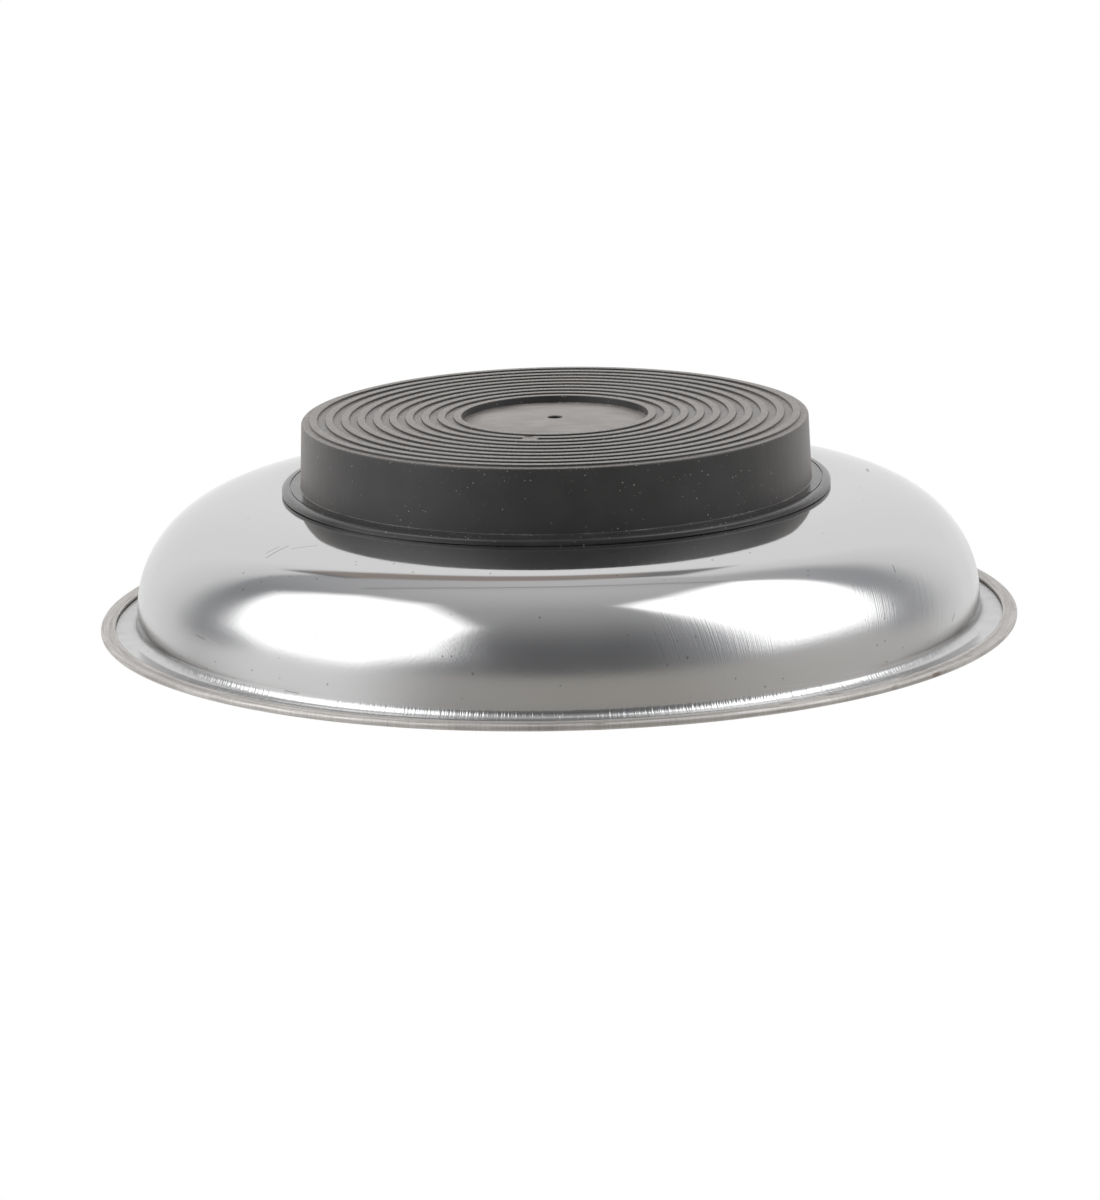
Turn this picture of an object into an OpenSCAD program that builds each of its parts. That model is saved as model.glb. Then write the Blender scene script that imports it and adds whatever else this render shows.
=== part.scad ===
// Round magnetic parts tray, turned over so that it stands on its rim: a drawn steel bowl with a folded rim,
// and a ring magnet clamped to the outside of its base under a ribbed rubber boot.
// Millimetres, with the rim's plane at z = 0 and +Z up through the middle of the magnet.

/* [Bowl] */
// Diameter over the rim
rim_d = 150; // [130:1:180]
// Width of the flat rim, from the wall's fillet to the outer edge
rim_w = 4.6; // [4:0.1:8]
// How far the rim's folded edge reaches in
hem_w = 2.4; // [1.5:0.1:3.5]
// Height of the base over the rim's plane
bowl_h = 22.1; // [16:0.1:35]
// Height at which the wall starts to turn in
wall_h = 4; // [3:0.1:8]
// Lean of the wall from upright, in degrees
wall_lean = 2; // [0:0.5:8]
// Outside radius of the shoulder round the base
shoulder_r = 42; // [24:0.5:60]
// Turn of the shoulder before the tighter corner, in degrees
shoulder_turn = 14; // [5:1:22]
// Outside radius of the fillet between the wall and the rim
rim_fillet_r = 1.4; // [0.6:0.1:1.8]
// Thickness of the steel sheet
sheet_t = 0.6; // [0.4:0.1:0.8]

/* [Ring magnet] */
// Outside diameter of the magnet
magnet_d = 80; // [70:1:90]
// Bore of the magnet
magnet_bore_d = 40; // [34:1:48]
// Thickness of the magnet
magnet_t = 7; // [6:0.1:12]
// Chamfer on the magnet's edges
magnet_chamfer = 0.8; // [0.3:0.1:1.5]

/* [Steel plates] */
// Thickness of both plates
plate_t = 1; // [0.6:0.1:1.4]
// How far both plates stop short of the magnet's edge
plate_inset = 0.5; // [0.2:0.1:2]
// How far the backing plate's seat on the bowl runs past the magnet's bore
seat_margin = 2; // [1:0.1:3]
// Width of the backing plate's step from its seat to its raised edge
step_w = 1.6; // [1:0.1:3]
// Room between the keeper plate's dish and the magnet's bore
dish_clear = 0.4; // [0.2:0.1:1]
// Outside radius of the bend at the foot of the dish
dish_bend_r = 1.6; // [1.5:0.1:3]
// Inside radius of the bend at the mouth of the dish
mouth_bend_r = 0.5; // [0.3:0.1:0.8]

/* [Rubber boot] */
// Room between the boot's wall and the magnet
boot_clear = 0.2; // [0.1:0.05:0.5]
// Thickness of the boot's wall at the face
boot_wall_t = 1.1; // [0.8:0.1:2]
// How much thicker the wall is at its foot
boot_draft = 0.4; // [0:0.1:0.8]
// Thickness of the face between the ribs
face_t = 1.5; // [1:0.1:2.5]
// Radius of the face's outer edge
face_edge_r = 0.4; // [0.2:0.1:0.8]
// Plain band outside the ribs
band_w = 1.3; // [1:0.1:3]
// Number of ribs
rib_count = 10; // [4:1:12]
// Width of a rib
rib_w = 1.3; // [0.8:0.1:1.8]
// Distance from one rib to the next
rib_pitch = 2.61; // [2.2:0.01:3]
// Height of the ribs
rib_h = 0.35; // [0.2:0.05:0.8]
// Depth of the round recess below the rib tops
recess_depth = 1.25; // [0.8:0.05:1.6]
// How much higher the recess's floor stands at its middle than at its edge
recess_crown = 0.75; // [0:0.05:1]
// Thickness of the recess's floor at its edge
recess_floor_t = 1; // [0.8:0.1:1.5]
// Diameter of the vent hole
vent_d = 2.3; // [1:0.1:4]
// Thickness of the lip under the backing plate
lip_t = 1.2; // [0.8:0.1:2]
// How far the lip reaches in
lip_w = 6.5; // [3:0.1:8]
// How far the foot flange reaches out
flange_w = 3.05; // [2:0.05:4]
// Thickness of the foot flange
flange_t = 1.2; // [0.8:0.1:2]
// Height of the flange's straight edge
flange_edge_h = 0.7; // [0.1:0.05:0.75]
// Width of the flange's flat inner ring
flange_ring_w = 1.6; // [0.8:0.1:1.8]
// Width of the moulded line round the flange
flange_line_w = 0.2; // [0.1:0.05:0.3]
// Depth of the moulded line
flange_line_depth = 0.15; // [0.1:0.05:0.3]

/* [Centre screw] */
// Diameter over the thread
screw_d = 5; // [4:0.5:6]
// How far the screw stands past the nut
screw_tip = 0.5; // [0.2:0.1:1.5]
// Diameter of the round head
head_d = 12; // [10:0.5:16]
// Height of the head
head_h = 2.6; // [2:0.1:4]
// Height of the head's straight edge
head_edge_h = 0.6; // [0.3:0.1:1]
// Length of the cross recess
cross_l = 4.9; // [3:0.1:6]
// Width of the cross recess
cross_w = 1; // [0.6:0.1:1.5]
// Depth of the cross recess
cross_depth = 1.6; // [1:0.1:1.8]
// Room round the screw in every hole it passes
hole_clear = 0.25; // [0.1:0.05:0.4]

/* [Washers and nut] */
// Outside diameter of the flat washer
washer_d = 10; // [9:0.1:14]
// Thickness of the flat washer
washer_t = 1; // [0.5:0.1:1.5]
// Outside diameter of the spring washer
spring_d = 9.2; // [8:0.1:12]
// Thickness of the spring washer
spring_t = 1.2; // [0.8:0.1:1.6]
// Gap at the spring washer's cut
spring_gap = 0.6; // [0.3:0.1:1.2]
// Slant of the spring washer's cut, in degrees
spring_slant = 20; // [0:1:35]
// Width of the nut across its flats
nut_flats = 8; // [7:0.1:10]
// Height of the nut
nut_h = 2.7; // [2:0.1:4]
// Height of the nut's corner chamfers
nut_chamfer_h = 0.45; // [0.2:0.05:0.8]
// Room round the thread in the nut
thread_clear = 0.05; // [0.02:0.01:0.2]

/* [Hidden] */
$fn = 96;

// How far every cut runs past what it cuts
overrun = 1;
// Turn of one step along an arc
arc_step = 4;
// Number of steps across the recess's crowned floor
crown_steps = 8;

// Bowl: the wall's line, the corner that follows from its height, and the flat base that is left
rim_r = rim_d / 2;
fillet_x = rim_r - rim_w;
fillet_z = sheet_t + rim_fillet_r;
wall_run = (wall_h + rim_fillet_r * sin(wall_lean) - fillet_z) / cos(wall_lean);
wall_top_x = fillet_x - rim_fillet_r * cos(wall_lean) - wall_run * sin(wall_lean);
shoulder_drop = shoulder_r * (1 - cos(shoulder_turn));
corner_r = (bowl_h - shoulder_drop - wall_h) / (cos(shoulder_turn) - sin(wall_lean));
corner_x = wall_top_x - corner_r * cos(wall_lean);
corner_z = wall_h - corner_r * sin(wall_lean);
base_r = corner_x + (corner_r - shoulder_r) * sin(shoulder_turn);
shoulder_z = bowl_h - shoulder_r;

// Heights of the stack, from the bowl's base up
plate_edge_z = bowl_h + lip_t;
magnet_z = plate_edge_z + plate_t;
brim_z = magnet_z + magnet_t;
ceiling_z = brim_z + plate_t;
face_z = ceiling_z + face_t;
rib_top_z = face_z + rib_h;
recess_z = rib_top_z - recess_depth;
dish_z = bowl_h + plate_t;
washer_z = dish_z + plate_t;
spring_z = washer_z + washer_t;
nut_z = spring_z + spring_t;
head_z = bowl_h - sheet_t;
screw_top_z = nut_z + nut_h + screw_tip;

// Radii of the stack
hole_r = screw_d / 2 + hole_clear;
magnet_r = magnet_d / 2;
plate_r = magnet_r - plate_inset;
seat_r = magnet_bore_d / 2 + seat_margin;
dish_r = magnet_bore_d / 2 - dish_clear;
boot_bore_r = magnet_r + boot_clear;
boot_face_r = boot_bore_r + boot_wall_t;
boot_foot_r = boot_face_r + boot_draft;
flange_r = boot_foot_r + flange_w;
flange_line_r = boot_foot_r + flange_ring_w;
flange_bead_r = flange_line_r + flange_line_w;
lip_r = boot_bore_r - lip_w;
rib_out_r = boot_face_r - band_w;
recess_r = rib_out_r - (rib_count - 1) * rib_pitch - rib_w;
boss_r = min(recess_r + recess_floor_t, dish_r - plate_t - dish_clear);

// Points along an oval about (x, z), from one angle to another, both ends included
function oval(x, z, half_w, half_h, from, to) =
    let (steps = max(1, ceil(abs(to - from) / arc_step)))
    [for (i = [0:steps])
        let (turn = from + (to - from) * i / steps)
        [x + half_w * cos(turn), z + half_h * sin(turn)]];

function arc(x, z, radius, from, to) = oval(x, z, radius, radius, from, to);

// Outside of the bowl from the base down to the rim, or its inside with the sheet's thickness as inset
function bowl_side(inset) = concat(
    arc(base_r, shoulder_z, shoulder_r - inset, 90, 90 - shoulder_turn),
    arc(corner_x, corner_z, corner_r - inset, 90 - shoulder_turn, wall_lean),
    arc(fillet_x, fillet_z, rim_fillet_r + inset, 180 + wall_lean, 270));

function reversed(points) = [for (i = [len(points) - 1:-1:0]) points[i]];

module bowl() {
    color("silver")
    rotate_extrude()
    polygon(concat(
        [[hole_r, bowl_h]],
        bowl_side(0),
        [[rim_r - hem_w, sheet_t], [rim_r - hem_w, 2 * sheet_t]],
        arc(rim_r - sheet_t, sheet_t, sheet_t, 90, -90),
        reversed(bowl_side(sheet_t)),
        [[hole_r, bowl_h - sheet_t]]));
}

module backing_plate() {
    color("darkgray")
    rotate_extrude()
    polygon([
        [hole_r, bowl_h],
        [seat_r, bowl_h],
        [seat_r + step_w, plate_edge_z],
        [plate_r, plate_edge_z],
        [plate_r, magnet_z],
        [seat_r + step_w, magnet_z],
        [seat_r, dish_z],
        [hole_r, dish_z]]);
}

module ring_magnet() {
    bore_r = magnet_bore_d / 2;
    color("dimgray")
    rotate_extrude()
    polygon([
        [bore_r + magnet_chamfer, magnet_z],
        [magnet_r - magnet_chamfer, magnet_z],
        [magnet_r, magnet_z + magnet_chamfer],
        [magnet_r, brim_z - magnet_chamfer],
        [magnet_r - magnet_chamfer, brim_z],
        [bore_r + magnet_chamfer, brim_z],
        [bore_r, brim_z - magnet_chamfer],
        [bore_r, magnet_z + magnet_chamfer]]);
}

// Side of the keeper plate's dish from its foot up to its brim, with the plate's thickness as inset on its inside
function dish_side(inset) = concat(
    arc(dish_r - dish_bend_r, dish_z + dish_bend_r, dish_bend_r - inset, 270, 360),
    arc(dish_r + mouth_bend_r, brim_z - mouth_bend_r, mouth_bend_r + inset, 180, 90));

module keeper_plate() {
    color("darkgray")
    rotate_extrude()
    polygon(concat(
        [[hole_r, dish_z]],
        dish_side(0),
        [[plate_r, brim_z], [plate_r, ceiling_z]],
        reversed(dish_side(plate_t)),
        [[hole_r, washer_z]]));
}

module centre_screw() {
    dome_h = head_h - head_edge_h;
    dome_r = (pow(head_d / 2, 2) + pow(dome_h, 2)) / (2 * dome_h);
    dome_turn = asin(head_d / 2 / dome_r);
    dome_z = head_z - head_h + dome_r;
    color("gainsboro")
    difference() {
        union() {
            rotate_extrude()
            polygon(concat(
                [[0, head_z]],
                arc(0, dome_z, dome_r, 270, 270 + dome_turn),
                [[head_d / 2, head_z]]));
            translate([0, 0, head_z - head_edge_h])
            cylinder(d = screw_d, h = screw_top_z - head_z + head_edge_h);
        }
        for (turn = [0, 90])
            rotate(turn)
            translate([-cross_l / 2, -cross_w / 2, head_z - head_h - overrun])
            cube([cross_l, cross_w, cross_depth + overrun]);
    }
}

module washer_ring(outside_d, bottom_z, thickness) {
    translate([0, 0, bottom_z])
    difference() {
        cylinder(d = outside_d, h = thickness);
        translate([0, 0, -overrun])
        cylinder(r = hole_r, h = thickness + 2 * overrun);
    }
}

module flat_washer() {
    color("gainsboro")
    washer_ring(washer_d, washer_z, washer_t);
}

module spring_washer() {
    color("slategray")
    difference() {
        washer_ring(spring_d, spring_z, spring_t);
        translate([0, 0, spring_z + spring_t / 2])
        rotate([spring_slant, 0, 0])
        translate([0, -spring_gap / 2, -spring_t - overrun])
        cube([spring_d, spring_gap, 2 * (spring_t + overrun)]);
    }
}

module hex_nut() {
    point_r = nut_flats / 2 / cos(30);
    chamfer_w = nut_chamfer_h * tan(60);
    color("gainsboro")
    translate([0, 0, nut_z])
    difference() {
        intersection() {
            cylinder(r = point_r, h = nut_h, $fn = 6);
            rotate_extrude()
            polygon([
                [0, 0],
                [point_r - chamfer_w, 0],
                [point_r, nut_chamfer_h],
                [point_r, nut_h - nut_chamfer_h],
                [point_r - chamfer_w, nut_h],
                [0, nut_h]]);
        }
        translate([0, 0, -overrun])
        cylinder(r = screw_d / 2 + thread_clear, h = nut_h + 2 * overrun);
    }
}

// Outline of the ribs from the outermost one in to the recess's edge
function rib_outline() = [
    for (i = [0:rib_count - 1])
        let (out_r = rib_out_r - i * rib_pitch)
        each concat(
            [[out_r, face_z], [out_r, rib_top_z], [out_r - rib_w, rib_top_z]],
            i < rib_count - 1 ? [[out_r - rib_w, face_z]] : [])];

// Crowned floor of the recess from its edge in to the vent hole
function recess_floor() = [
    for (i = [0:crown_steps])
        let (x = recess_r + (vent_d / 2 - recess_r) * i / crown_steps)
        [x, recess_z + recess_crown * (1 - pow(x / recess_r, 2))]];

module rubber_boot() {
    flange_top_z = bowl_h + flange_t;
    bead_w = flange_r - flange_bead_r;
    bead_h = flange_t - flange_edge_h;
    color("#2b2b2d")
    rotate_extrude()
    polygon(concat(
        [[lip_r, bowl_h], [flange_r, bowl_h]],
        oval(flange_bead_r, bowl_h + flange_edge_h, bead_w, bead_h, 0, 90),
        [
            [flange_bead_r, flange_top_z - flange_line_depth],
            [flange_line_r, flange_top_z - flange_line_depth],
            [flange_line_r, flange_top_z],
            [boot_foot_r, flange_top_z]],
        arc(boot_face_r - face_edge_r, face_z - face_edge_r, face_edge_r, 0, 90),
        rib_outline(),
        recess_floor(),
        [
            [vent_d / 2, recess_z - recess_floor_t],
            [boss_r, recess_z - recess_floor_t],
            [boss_r, ceiling_z],
            [boot_bore_r, ceiling_z],
            [boot_bore_r, plate_edge_z],
            [lip_r, plate_edge_z]]));
}

bowl();
backing_plate();
ring_magnet();
keeper_plate();
centre_screw();
flat_washer();
spring_washer();
hex_nut();
rubber_boot();
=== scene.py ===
import math

import bmesh
import bpy
from mathutils import Matrix, Vector


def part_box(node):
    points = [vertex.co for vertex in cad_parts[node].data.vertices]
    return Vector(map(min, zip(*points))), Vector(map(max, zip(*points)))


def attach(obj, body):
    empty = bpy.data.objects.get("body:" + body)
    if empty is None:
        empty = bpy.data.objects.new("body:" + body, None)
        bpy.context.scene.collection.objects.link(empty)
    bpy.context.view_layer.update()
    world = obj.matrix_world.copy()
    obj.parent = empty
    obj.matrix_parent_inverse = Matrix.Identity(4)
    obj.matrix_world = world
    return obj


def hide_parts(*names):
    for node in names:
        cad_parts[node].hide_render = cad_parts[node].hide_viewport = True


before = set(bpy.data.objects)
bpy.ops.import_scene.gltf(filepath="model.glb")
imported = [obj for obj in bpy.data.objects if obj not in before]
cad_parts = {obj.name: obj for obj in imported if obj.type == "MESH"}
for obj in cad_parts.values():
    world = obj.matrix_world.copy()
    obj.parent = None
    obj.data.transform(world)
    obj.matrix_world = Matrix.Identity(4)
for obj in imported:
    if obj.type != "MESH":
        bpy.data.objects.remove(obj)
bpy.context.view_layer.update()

scene = bpy.context.scene
mm = 0.001
print("frame loaded:", len(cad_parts), "nodes")

# Camera at the viewing angle of the photo, fitted to the rim and to the boot's face
cameraFit = {
    "distance": 1000,       # from the point it looks at, mm
    "elevation": 13.217,    # degrees above the floor
    "roll": 1.222,          # degrees, so that the right side of the picture stands a little higher
    "lookX": -1.42,         # mm
    "lookZ": 3.041,
    "focalLength": 182.95,  # mm
    "sensorHeight": 36,
}


def makeCamera(fit):
    tilt, roll = math.radians(fit["elevation"]), math.radians(fit["roll"])
    back = Vector((0, -math.cos(tilt), math.sin(tilt)))
    level = Vector((1, 0, 0))
    upright = back.cross(level)
    right = level * math.cos(roll) - upright * math.sin(roll)
    up = level * math.sin(roll) + upright * math.cos(roll)
    lens = bpy.data.cameras.new("photoCamera")
    lens.sensor_fit = "VERTICAL"
    lens.sensor_height = fit["sensorHeight"]
    lens.lens = fit["focalLength"]
    camera = bpy.data.objects.new("photoCamera", lens)
    camera.matrix_world = Matrix((right, up, back)).transposed().to_4x4()
    camera.location = Vector((fit["lookX"], 0, fit["lookZ"])) * mm + back * fit["distance"] * mm
    scene.collection.objects.link(camera)
    scene.camera = camera


makeCamera(cameraFit)
print("camera set")

# Small tools that everything below uses
noiseMost = (0.3, 0.7)      # most of a noise texture lies between these
noiseCore = (0.35, 0.65)    # and its middle between these
softly = {"interpolation_type": "SMOOTHSTEP"}    # settings of a Map Range that starts and ends gently
inColour = {"data_type": "RGBA", "out": 2}       # and of a Mix of two colours


def toLinear(hexColour):
    shares = [int(hexColour[i:i + 2], 16) / 255 for i in (1, 3, 5)]
    return tuple(c / 12.92 if c <= 0.04045 else ((c + 0.055) / 1.055) ** 2.4 for c in shares) + (1.0,)


def grey(level):
    return (level, level, level, 1.0)


def shadeToColour(look):
    return [(noiseCore[0], toLinear(look["shade"])), (noiseCore[1], toLinear(look["colour"]))]


def per(size):
    return 1 / (size * mm)    # pattern scale for a feature of that size in mm


# Adds a node with its settings and links. Numbers in inputs count its sockets: on Map Range, 1 and 2 are
# the range it reads and 3 and 4 the one it gives; on Mix, 0 is the share, 2 and 3 numbers, 6 and 7 colours
def addNode(tree, kind, inputs=None, out=0, stops=None, **settings):
    node = tree.nodes.new(kind)
    for name, value in settings.items():
        setattr(node, name, value)
    for key, value in (inputs or {}).items():
        if isinstance(value, bpy.types.NodeSocket):
            tree.links.new(value, node.inputs[key])
        else:
            node.inputs[key].default_value = value
    if stops:
        ramp = node.color_ramp.elements
        while len(ramp) < len(stops):
            ramp.new(1.0)
        for element, (position, colour) in zip(ramp, stops):
            element.position, element.color = position, colour
    return node if out is None else node.outputs[out]


def newMaterial(name):
    material = bpy.data.materials.new(name)
    material.use_nodes = True
    material.node_tree.nodes.clear()
    return material, material.node_tree


def arc(x, z, halfWidth, halfHeight, start, end, steps):
    turns = [math.radians(start + (end - start) * i / steps) for i in range(steps + 1)]
    return [(x + halfWidth * math.cos(t), z + halfHeight * math.sin(t)) for t in turns]


def along(start, end, steps):
    return [(start[0] + (end[0] - start[0]) * i / steps, start[1] + (end[1] - start[1]) * i / steps)
            for i in range(steps + 1)]


# Turns a closed outline in mm into a ring-shaped mesh; zones gives the material of the face after each point
def lathe(name, outline, segments, materials, zones, push=None):
    sharpFrom = math.radians(40)
    count = len(outline)
    corners = []
    for i in range(segments):
        turn = 2 * math.pi * i / segments
        for r, z in outline:
            x, y = r * math.cos(turn), r * math.sin(turn)
            lift = push(x, y, z) if push else 0.0
            corners.append((x * mm, y * mm, (z + lift) * mm))
    faces = []
    for i in range(segments):
        a, b = i * count, (i + 1) % segments * count
        for j in range(count):
            k = (j + 1) % count
            faces.append((a + j, b + j, b + k, a + k))
    mesh = bpy.data.meshes.new(name)
    mesh.from_pydata(corners, [], faces)
    for material in materials:
        mesh.materials.append(material)
    mesh.polygons.foreach_set("material_index", [zones[j] for i in range(segments) for j in range(count)])
    shell = bmesh.new()
    shell.from_mesh(mesh)
    bmesh.ops.recalc_face_normals(shell, faces=shell.faces)
    shell.to_mesh(mesh)
    shell.free()
    mesh.shade_smooth()
    mesh.set_sharp_from_angle(angle=sharpFrom)
    piece = bpy.data.objects.new(name, mesh)
    scene.collection.objects.link(piece)
    return piece


# Stainless steel sheet, buffed along one grain before it was drawn: a soft mirror, dimmer than silver, with
# fine lines that run across the bowl, scratches and dashes from handling, and a fluted foot where the die
# gathered the metal
polishedLook = {
    "colour": "#c8c8c8",
    "edgeTint": 0.88,      # how much of a mirror's glare the steel keeps at grazing angles
    "metallic": 0.97,      # the rest is a thin haze of oil and dust
    "roughTop": 0.08,      # on the base, which the die left smooth
    "smoothFrom": 17.5,    # height, mm
    "roughWall": 0.22,     # on the wall, which was stretched most
    "hazyTo": 9,           # height, mm
    "roughFoot": 0.17,     # at the foot of the wall, which the die ironed
    "footReach": 2.5,      # mm above the fillet
    "roughFillet": 0.22,   # in the fillet, where the flutes scatter the light
    "filletBlend": 0.3,    # mm
    "patchSize": 11,       # patches of more and less haze, mm
    "patchVary": 0.12,     # share by which they differ
    "drawIn": 0.0225,      # how far the die drew the sheet in, mm for each square mm of depth
    "grainTurn": -60,      # degrees in plan
    "lineWidth": 0.24,     # buffing lines, mm, drawn coarser and deeper than real so that they show
    "lineLength": 24,
    "lineDepth": 0.021,
    "lineFade": (28, 4, 0.25),    # full to the right of the first place, mm, that share left of the second
    "peelSize": 0.6,       # the stretched metal's fine ripple, mm
    "peelDepth": 0.008,
    "waveSize": 16,        # slow unevenness of a pressed sheet, mm
    "waveDepth": 0.06,
    "fluteWidth": 0.45,    # mm along the rim
    "fluteDepth": 0.1,
    "dashCell": 11,        # one place for a dash in each such cell, mm
    "dashLength": 1.3,
    "dashWidth": 0.16,
    "dashTurn": 25,        # degrees in plan
    "fleckCell": 1.5,      # one place for a pit in each such cell, mm
    "fleckSize": 0.22,
    "fleckShade": 0.5,
    "bareShare": 0.6,      # share of these places that stay bare
    "markColour": "#77726c",
    "marks": [             # both ends on the flat sheet and the width, mm, and how dark
        ((-46, -35.5), (-44, -34.5), 0.26, 0.6),      # hairline scratches beside the boot
        ((-46, -37), (-42.5, -35), 0.28, 0.75),
        ((-42, -36.5), (-38, -37), 0.26, 0.6),
        ((51.4, 9.2), (51.4, 11.4), 0.7, 1.0),        # a fleck on the far right
        ((53.5, -36.5), (54, -37.5), 0.3, 0.7),       # nicks on the right
        ((52, -44.5), (53.5, -47), 0.25, 0.4),
        ((68.5, -30), (68.5, -31.5), 0.5, 0.35),      # a smudge low on the right
        ((-61.5, -40), (-60, -42.5), 0.24, 0.4),      # nicks on the left
        ((-48.5, -61), (-46, -63), 0.24, 0.5),
    ],
}


def makePolishedSteel(look, baseTop, filletTop, rimRadius):
    material, tree = newMaterial("stainless_steel_buffed")
    place = addNode(tree, "ShaderNodeTexCoord", out="Object")
    x, y, height = addNode(tree, "ShaderNodeSeparateXYZ", {0: place}, out=None).outputs
    flat = addNode(tree, "ShaderNodeCombineXYZ", {0: x, 1: y})
    radius = addNode(tree, "ShaderNodeVectorMath", {0: flat}, out="Value", operation="LENGTH")
    around = addNode(tree, "ShaderNodeVectorMath", {0: flat}, operation="NORMALIZE")

    # Where each spot lay on the flat sheet, before the die drew it down
    depth = addNode(tree, "ShaderNodeMath", {0: baseTop * mm, 1: height}, operation="SUBTRACT")
    squared = addNode(tree, "ShaderNodeMath", {0: depth, 1: depth}, operation="MULTIPLY")
    spread = addNode(tree, "ShaderNodeMath", {0: squared, 1: radius}, operation="DIVIDE")
    spread = addNode(tree, "ShaderNodeMath", {0: spread, 1: look["drawIn"] / mm, 2: 1.0},
                     operation="MULTIPLY_ADD")
    sheet = addNode(tree, "ShaderNodeVectorMath", {0: flat, "Scale": spread}, operation="SCALE")

    # Roughness: smooth on the base, hazy in patches on the wall, ironed at its foot, fluted in the fillet
    stretched = addNode(tree, "ShaderNodeMapRange", {
        0: height, 1: look["smoothFrom"] * mm, 2: look["hazyTo"] * mm}, **softly)
    haze = addNode(tree, "ShaderNodeMapRange", {0: stretched, 3: look["roughTop"], 4: look["roughWall"]})
    patches = addNode(tree, "ShaderNodeTexNoise", {
        "Vector": place, "Scale": per(look["patchSize"]), "Detail": 2.0})
    uneven = addNode(tree, "ShaderNodeMapRange", {
        0: patches, 1: noiseMost[0], 2: noiseMost[1], 3: 1 - look["patchVary"], 4: 1 + look["patchVary"]})
    clouded = addNode(tree, "ShaderNodeMath", {0: haze, 1: uneven}, operation="MULTIPLY")
    ironed = addNode(tree, "ShaderNodeMapRange", {
        0: height, 1: (filletTop + look["footReach"]) * mm, 2: filletTop * mm}, **softly)
    inFillet = addNode(tree, "ShaderNodeMapRange", {
        0: height, 1: (filletTop + look["filletBlend"]) * mm, 2: (filletTop - look["filletBlend"]) * mm})
    rough = addNode(tree, "ShaderNodeMix", {0: ironed, 2: clouded, 3: look["roughFoot"]})
    rough = addNode(tree, "ShaderNodeMix", {0: inFillet, 2: rough, 3: look["roughFillet"]})

    # Unevenness: slow waves, ripple and buffing lines where the metal was stretched, and the fluted fillet
    wave = addNode(tree, "ShaderNodeTexNoise", {
        "Vector": place, "Scale": per(look["waveSize"]), "Detail": 1.0})
    peel = addNode(tree, "ShaderNodeTexNoise", {
        "Vector": place, "Scale": per(look["peelSize"]), "Detail": 2.0})
    grain = addNode(tree, "ShaderNodeMapping", {
        0: sheet, 2: (0, 0, math.radians(look["grainTurn"])),
        3: (look["lineLength"] * mm, look["lineWidth"] * mm, 1)}, vector_type="TEXTURE")
    lines = addNode(tree, "ShaderNodeTexNoise", {"Vector": grain, "Scale": 1.0, "Detail": 1.0})
    full, faint, least = look["lineFade"]
    lineShare = addNode(tree, "ShaderNodeMapRange", {0: x, 1: faint * mm, 2: full * mm, 3: least, 4: 1.0})
    lineShare = addNode(tree, "ShaderNodeMath", {0: lineShare, 1: stretched}, operation="MULTIPLY")
    flutes = addNode(tree, "ShaderNodeTexNoise", {
        "Vector": around, "Scale": rimRadius / look["fluteWidth"], "Detail": 2.0})
    bent = addNode(tree, "ShaderNodeBump", {"Height": wave, "Distance": look["waveDepth"] * mm})
    for pattern, share, size in ((peel, stretched, "peelDepth"), (lines, lineShare, "lineDepth"),
                                 (flutes, inFillet, "fluteDepth")):
        relief = addNode(tree, "ShaderNodeMath", {0: pattern, 1: share}, operation="MULTIPLY")
        bent = addNode(tree, "ShaderNodeBump", {
            "Height": relief, "Distance": look[size] * mm, "Normal": bent})

    # Dashes and flecks here and there, and the marks
    slanted = addNode(tree, "ShaderNodeMapping", {
        0: place, 2: (0, 0, math.radians(look["dashTurn"])),
        3: (look["dashWidth"] / look["dashLength"], 1, 1)})
    dark = 0.0
    for where, cell, size, shade in (
            (slanted, look["dashCell"], look["dashWidth"], 1.0),
            (place, look["fleckCell"], look["fleckSize"], look["fleckShade"])):
        cells = addNode(tree, "ShaderNodeTexVoronoi", {"Vector": where, "Scale": per(cell)}, out=None)
        chance = addNode(tree, "ShaderNodeSeparateColor", {0: cells.outputs["Color"]})
        reach = addNode(tree, "ShaderNodeMapRange", {
            0: chance, 1: look["bareShare"], 2: 1.0, 3: 0.0, 4: size / cell})
        spot = addNode(tree, "ShaderNodeMath", {0: cells.outputs["Distance"], 1: reach},
                       operation="LESS_THAN")
        spot = addNode(tree, "ShaderNodeMath", {0: spot, 1: shade}, operation="MULTIPLY")
        dark = addNode(tree, "ShaderNodeMath", {0: spot, 1: dark}, operation="MAXIMUM")
    for start, end, width, share in look["marks"]:
        way = Vector((end[0] - start[0], end[1] - start[1], 0)) * mm
        offset = addNode(tree, "ShaderNodeVectorMath", {0: sheet, 1: (start[0] * mm, start[1] * mm, 0)},
                         operation="SUBTRACT")
        run = addNode(tree, "ShaderNodeVectorMath", {0: offset, 1: way / way.length_squared}, out="Value",
                      operation="DOT_PRODUCT")
        run = addNode(tree, "ShaderNodeClamp", {0: run})
        nearest = addNode(tree, "ShaderNodeVectorMath", {0: way, "Scale": run}, operation="SCALE")
        apart = addNode(tree, "ShaderNodeVectorMath", {0: offset, 1: nearest}, out="Value",
                        operation="DISTANCE")
        mark = addNode(tree, "ShaderNodeMapRange", {      # soft towards its edge
            0: apart, 1: width / 2 * mm, 2: width / 5 * mm, 3: 0.0, 4: share})
        dark = addNode(tree, "ShaderNodeMath", {0: mark, 1: dark}, operation="MAXIMUM")
    tone = addNode(tree, "ShaderNodeMix", {
        0: dark, 6: toLinear(look["colour"]), 7: toLinear(look["markColour"])}, **inColour)
    steel = addNode(tree, "ShaderNodeBsdfPrincipled", {
        "Base Color": tone, "Metallic": look["metallic"], "Roughness": rough, "Normal": bent,
        "Specular Tint": grey(look["edgeTint"])})
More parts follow.
